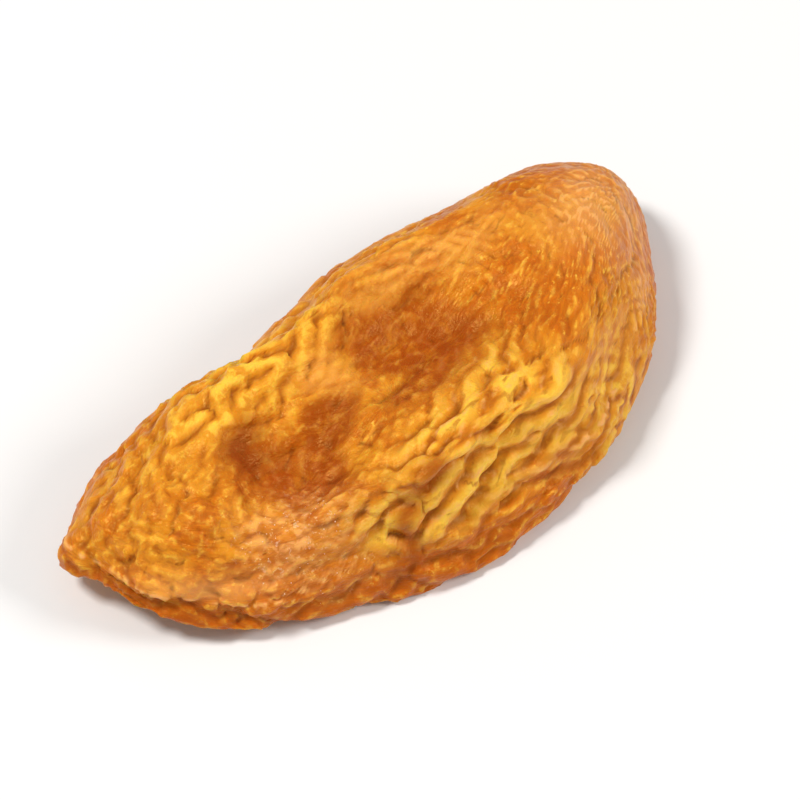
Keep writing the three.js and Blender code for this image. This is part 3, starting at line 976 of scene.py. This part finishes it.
    rough = ranged(tree, fleck, 0.0, 1.0, 0.30, 0.48)
    rough = maths(tree, "ADD", rough, maths(tree, "MULTIPLY", pale, 0.15))
    rough = maths(tree, "SUBTRACT", rough, maths(tree, "MULTIPLY", attribute(tree, "flesh"), 0.06))
    shade(tree, {
        "Base Color": colour, "Roughness": rough, "Normal": grain_bump(tree, detail, *SKIN_BUMP),
        "Specular IOR Level": 0.42, "Specular Tint": (1.0, 0.60, 0.16, 1.0),
        "Subsurface Weight": 0.40, "Subsurface Radius": (1.0, 0.30, 0.05), "Subsurface Scale": 0.0014,
        "Sheen Weight": 0.06, "Sheen Roughness": 0.35, "Sheen Tint": (1.0, 0.72, 0.42, 1.0)})
    return material


def fibre_material(name, colours, grain):
    material, tree = empty_material(name)
    detail = grain_in(tree, grain)
    colour = mixed(tree, detail.outputs["Mottle"], tuple(colours.rim), tuple(colours.peach))
    shade(tree, {
        "Base Color": colour, "Normal": grain_bump(tree, detail, *FIBRE_BUMP), "Roughness": 0.5,
        "Subsurface Weight": 0.3, "Subsurface Radius": (1.0, 0.36, 0.10), "Subsurface Scale": 0.0008})
    return material


def sugar_material(name, colours, grain):
    material, tree = empty_material(name)
    detail = grain_in(tree, grain)
    share = maths(tree, "MULTIPLY", detail.outputs["Mottle"], 0.5)
    colour = mixed(tree, share, tuple(colours.sugar), tuple(colours.peach))
    shade(tree, {"Base Color": colour, "Roughness": 0.3, "IOR": 1.54})
    return material


def stage_material(colour):
    material = bpy.data.materials.new("pale floor")
    material.use_nodes = True
    shader = material.node_tree.nodes["Principled BSDF"]
    shader.inputs["Base Color"].default_value = colour
    shader.inputs["Roughness"].default_value = 0.8
    return material


def finish_named(name, make):
    """A material of that name, made once."""
    grain = bpy.data.node_groups.get(GRAIN_GROUP) or dried_skin_group()
    return bpy.data.materials.get(name) or make(name, bpy.context.scene.apricot_colours, grain)


# Geometry Nodes for what is strewn over the surface

def strewn_group(name, mask, build_item):
    """A tree that strews an item over a surface where the mask attribute is high."""
    tree = bpy.data.node_groups.new(name, "GeometryNodeTree")
    sockets = tree.interface
    sockets.new_socket("Geometry", in_out="INPUT", socket_type="NodeSocketGeometry")
    for label, kind in (("Density", "Float"), ("Length", "Float"), ("Radius", "Float"), ("Seed", "Int")):
        sockets.new_socket(label, in_out="INPUT", socket_type=f"NodeSocket{kind}")
    sockets.new_socket("Finish", in_out="INPUT", socket_type="NodeSocketMaterial")
    sockets.new_socket("Geometry", in_out="OUTPUT", socket_type="NodeSocketGeometry")
    start = add(tree, "NodeGroupInput").outputs
    end = add(tree, "NodeGroupOutput")

    share = add(tree, "GeometryNodeInputNamedAttribute", {"Name": mask}, data_type="FLOAT")
    share = maths(tree, "POWER", share.outputs["Attribute"], 2.0)
    density = maths(tree, "MULTIPLY", start["Density"], share)
    spots = add(tree, "GeometryNodeDistributePointsOnFaces",
                {"Mesh": start["Geometry"], "Density": density, "Seed": start["Seed"]})
    item, turn, size = build_item(tree, start, spots)
    copies = add(tree, "GeometryNodeInstanceOnPoints",
                 {"Points": spots.outputs["Points"], "Instance": item, "Rotation": turn, "Scale": size})
    solid = add(tree, "GeometryNodeRealizeInstances", {"Geometry": copies.outputs[0]})
    done = add(tree, "GeometryNodeSetMaterial", {"Geometry": solid.outputs[0], "Material": start["Finish"]})
    tree.links.new(done.outputs[0], end.inputs["Geometry"])
    return tree


def random_number(tree, start, limits, offset):
    """A random number between the limits for each copy."""
    seed = maths(tree, "ADD", start["Seed"], offset)
    inputs = {2: limits[0], 3: limits[1], "Seed": seed}
    node = add(tree, "FunctionNodeRandomValue", inputs, data_type="FLOAT")
    return node.outputs[1]


def random_turn(tree, start, reach, offset):
    """A random turn about each axis for each copy, up to the reach either way."""
    seed = maths(tree, "ADD", start["Seed"], offset)
    inputs = {0: tuple(-angle for angle in reach), 1: reach, "Seed": seed}
    return add(tree, "FunctionNodeRandomValue", inputs, data_type="FLOAT_VECTOR").outputs[0]


def grain_item(tree, start, spots):
    """A sugar grain: a small block with flattened corners, turned any way."""
    ball = add(tree, "GeometryNodeMeshIcoSphere", {"Radius": start["Radius"], "Subdivisions": 1}).outputs[0]
    turn = random_turn(tree, start, (math.pi, math.pi, math.pi), 1)
    return ball, turn, random_number(tree, start, GRAIN_SIZES, 2)


def fibre_item(tree, start, spots):
    """A torn fibre: a thin bent taper that leans as it stands out of the surface."""
    corners = dict(zip(("Start", "Start Handle", "End Handle", "End"), FIBRE_LINE))
    line = add(tree, "GeometryNodeCurvePrimitiveBezierSegment", dict(corners, Resolution=FIBRE_STEPS))
    grow = maths(tree, "DIVIDE", start["Length"], FIBRE_LINE_LENGTH)
    longer = add(tree, "GeometryNodeTransform", {"Geometry": line.outputs[0]})
    stretch = add(tree, "ShaderNodeCombineXYZ", {"X": grow, "Y": grow, "Z": grow}).outputs[0]
    tree.links.new(stretch, longer.inputs["Scale"])
    along = add(tree, "GeometryNodeSplineParameter").outputs["Factor"]
    thick = maths(tree, "MULTIPLY", start["Radius"], between(tree, along, 1.0, FIBRE_TIP))
    sized = add(tree, "GeometryNodeSetCurveRadius", {"Curve": longer.outputs[0], "Radius": thick})
    ring = add(tree, "GeometryNodeCurvePrimitiveCircle", {"Resolution": FIBRE_SIDES, "Radius": 1.0})
    tube = add(tree, "GeometryNodeCurveToMesh",
               {"Curve": sized.outputs[0], "Profile Curve": ring.outputs[0], "Scale": thick,
                "Fill Caps": True})
    lean = random_turn(tree, start, (FIBRE_LEAN, FIBRE_LEAN, math.pi), 3)
    inputs = {"Rotation": spots.outputs["Rotation"], "Rotate By": lean}
    turn = add(tree, "FunctionNodeRotateRotation", inputs, rotation_space="LOCAL").outputs[0]
    return tube.outputs[0], turn, random_number(tree, start, FIBRE_SIZES, 4)


def strew(name, tree, values, finish):
    """The tree's result on the half, as a plain mesh object at the origin."""
    half = bpy.data.objects.get(HALF)
    if half is None:
        raise RuntimeError("make the half before what is strewn over it")
    modifier = half.modifiers.new(name, "NODES")
    modifier.node_group = tree
    values = dict(values, Finish=finish)
    for item in tree.interface.items_tree:
        if item.item_type == "SOCKET" and item.in_out == "INPUT" and item.name in values:
            modifier[item.identifier] = values[item.name]
    half.update_tag()
    seen = half.evaluated_get(bpy.context.evaluated_depsgraph_get())
    mesh = bpy.data.meshes.new_from_object(seen)
    half.modifiers.remove(modifier)
    if not mesh.polygons:
        raise RuntimeError(f"{name} came out empty")
    mesh.name = name
    piece = bpy.data.objects.new(name, mesh)
    bpy.context.scene.collection.objects.link(piece)
    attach(piece, "root")


class MakeHalf(bpy.types.Operator):
    """Makes the half's folded surface in place of its plain solid"""
    bl_idname = "apricot.make_half"
    bl_label = "Half"

    def execute(self, context):
        points, squares, looks = half_surface(context.scene.apricot_shape)
        mesh = bpy.data.meshes.new(HALF)
        mesh.from_pydata((points * MM).tolist(), [], squares.tolist())
        for name, values in looks.items():
            if values.ndim == 2:
                layer = mesh.attributes.new(name, "FLOAT_VECTOR", "POINT")
                layer.data.foreach_set("vector", values.astype(np.float32).ravel())
            else:
                layer = mesh.attributes.new(name, "FLOAT", "POINT")
                layer.data.foreach_set("value", values.astype(np.float32))
        mesh.polygons.foreach_set("use_smooth", [True] * len(mesh.polygons))
        mesh.update()
        half = bpy.data.objects.new(HALF, mesh)
        context.scene.collection.objects.link(half)
        mesh.materials.append(finish_named("dried apricot", fruit_material))
        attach(half, "root")
        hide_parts(NODE)
        return {"FINISHED"}


class MakeSugar(bpy.types.Operator):
    """Strews sugar grains over the palest skin"""
    bl_idname = "apricot.make_sugar"
    bl_label = "Sugar grains"

    def execute(self, context):
        details = context.scene.apricot_details
        tree = strewn_group("Sugar grains", "pale", grain_item)
        values = {"Density": details.grain_density, "Radius": details.grain_radius, "Seed": details.seed}
        strew("sugar_grains", tree, values, finish_named("sugar grain", sugar_material))
        return {"FINISHED"}


class MakeFibres(bpy.types.Operator):
    """Stands torn fibres along the edge of the stone's hollow"""
    bl_idname = "apricot.make_fibres"
    bl_label = "Torn fibres"

    def execute(self, context):
        details = context.scene.apricot_details
        tree = strewn_group("Torn fibres", "torn", fibre_item)
        values = {"Density": details.fibre_density, "Length": details.fibre_length,
                  "Radius": details.fibre_radius, "Seed": details.seed}
        strew("torn_fibres", tree, values, finish_named("torn fibre", fibre_material))
        return {"FINISHED"}


def area_light(name, place, aim, power):
    """A round light at a place of that width, turned to the aim."""
    spot, size = place
    data = bpy.data.lights.new(name, "AREA")
    data.shape = "DISK"
    data.size = size
    data.energy = power
    data.color = LIGHT_COLOUR
    light = bpy.data.objects.new(name, data)
    light.location = spot
    light.rotation_mode = "QUATERNION"
    light.rotation_quaternion = (Vector(aim) - Vector(spot)).to_track_quat("-Z", "Y")
    bpy.context.scene.collection.objects.link(light)


class MakeStage(bpy.types.Operator):
    """Lays the floor and sets the lights and the camera"""
    bl_idname = "apricot.make_stage"
    bl_label = "Stage"

    def execute(self, context):
        scene = context.scene
        stage = scene.apricot_stage
        half_size = stage.floor_size / 2
        corners = [(-half_size, -half_size, 0), (half_size, -half_size, 0),
                   (half_size, half_size, 0), (-half_size, half_size, 0)]
        mesh = bpy.data.meshes.new("floor")
        mesh.from_pydata(corners, [], [(0, 1, 2, 3)])
        mesh.materials.append(stage_material(tuple(stage.floor_colour)))
        floor = bpy.data.objects.new("floor", mesh)
        scene.collection.objects.link(floor)

        world = bpy.data.worlds.new("soft white")
        world.use_nodes = True
        world.node_tree.nodes["Background"].inputs["Color"].default_value = (1.0, 1.0, 1.0, 1.0)
        world.node_tree.nodes["Background"].inputs["Strength"].default_value = stage.world_light
        scene.world = world

        middle = (CAD_BOX[0] + CAD_BOX[1]) / 2
        area_light("key", KEY_LIGHT, middle, stage.key_power)
        area_light("fill", FILL_LIGHT, middle, stage.fill_power)

        camera = bpy.data.objects.new("camera", bpy.data.cameras.new("camera"))
        scene.collection.objects.link(camera)
        flat = math.cos(stage.elevation)
        back = Vector((math.sin(stage.azimuth) * flat, -math.cos(stage.azimuth) * flat,
                       math.sin(stage.elevation)))
        camera.data.lens = stage.lens
        camera.data.sensor_width = SENSOR_WIDTH
        camera.data.clip_start = NEAREST_SEEN
        camera.location = middle + back * stage.distance
        camera.rotation_mode = "QUATERNION"
        camera.rotation_quaternion = (-back).to_track_quat("-Z", "Y")
        scene.camera = camera
        scene.view_settings.view_transform = "Standard"
        return {"FINISHED"}


PIECES = (MakeHalf, MakeSugar, MakeFibres)


class ApricotPanel(bpy.types.Panel):
    """The half's settings and the buttons that make its pieces"""
    bl_idname = "VIEW3D_PT_apricot"
    bl_label = "Dried apricot half"
    bl_space_type = "VIEW_3D"
    bl_region_type = "UI"
    bl_category = "Apricot"

    def draw(self, context):
        for group in ("apricot_shape", "apricot_colours", "apricot_details", "apricot_stage"):
            settings = getattr(context.scene, group)
            box = self.layout.box()
            box.label(text=settings.__doc__)
            for name in settings.__annotations__:
                box.prop(settings, name)
        for operator in PIECES + (MakeStage,):
            self.layout.operator(operator.bl_idname)


GROUPS = {
    "apricot_shape": ApricotShape,
    "apricot_colours": ApricotColours,
    "apricot_details": ApricotDetails,
    "apricot_stage": ApricotStage,
}
CLASSES = (*GROUPS.values(), *PIECES, MakeStage, ApricotPanel)


def register():
    for item in CLASSES:
        bpy.utils.register_class(item)
    for name, group in GROUPS.items():
        setattr(bpy.types.Scene, name, PointerProperty(type=group))


def unregister():
    for name in GROUPS:
        delattr(bpy.types.Scene, name)
    for item in reversed(CLASSES):
        bpy.utils.unregister_class(item)


def main():
    register()
    bpy.ops.apricot.make_stage()
    bpy.ops.apricot.make_half()
    bpy.ops.apricot.make_sugar()
    bpy.ops.apricot.make_fibres()


if __name__ == "__main__":
    main()
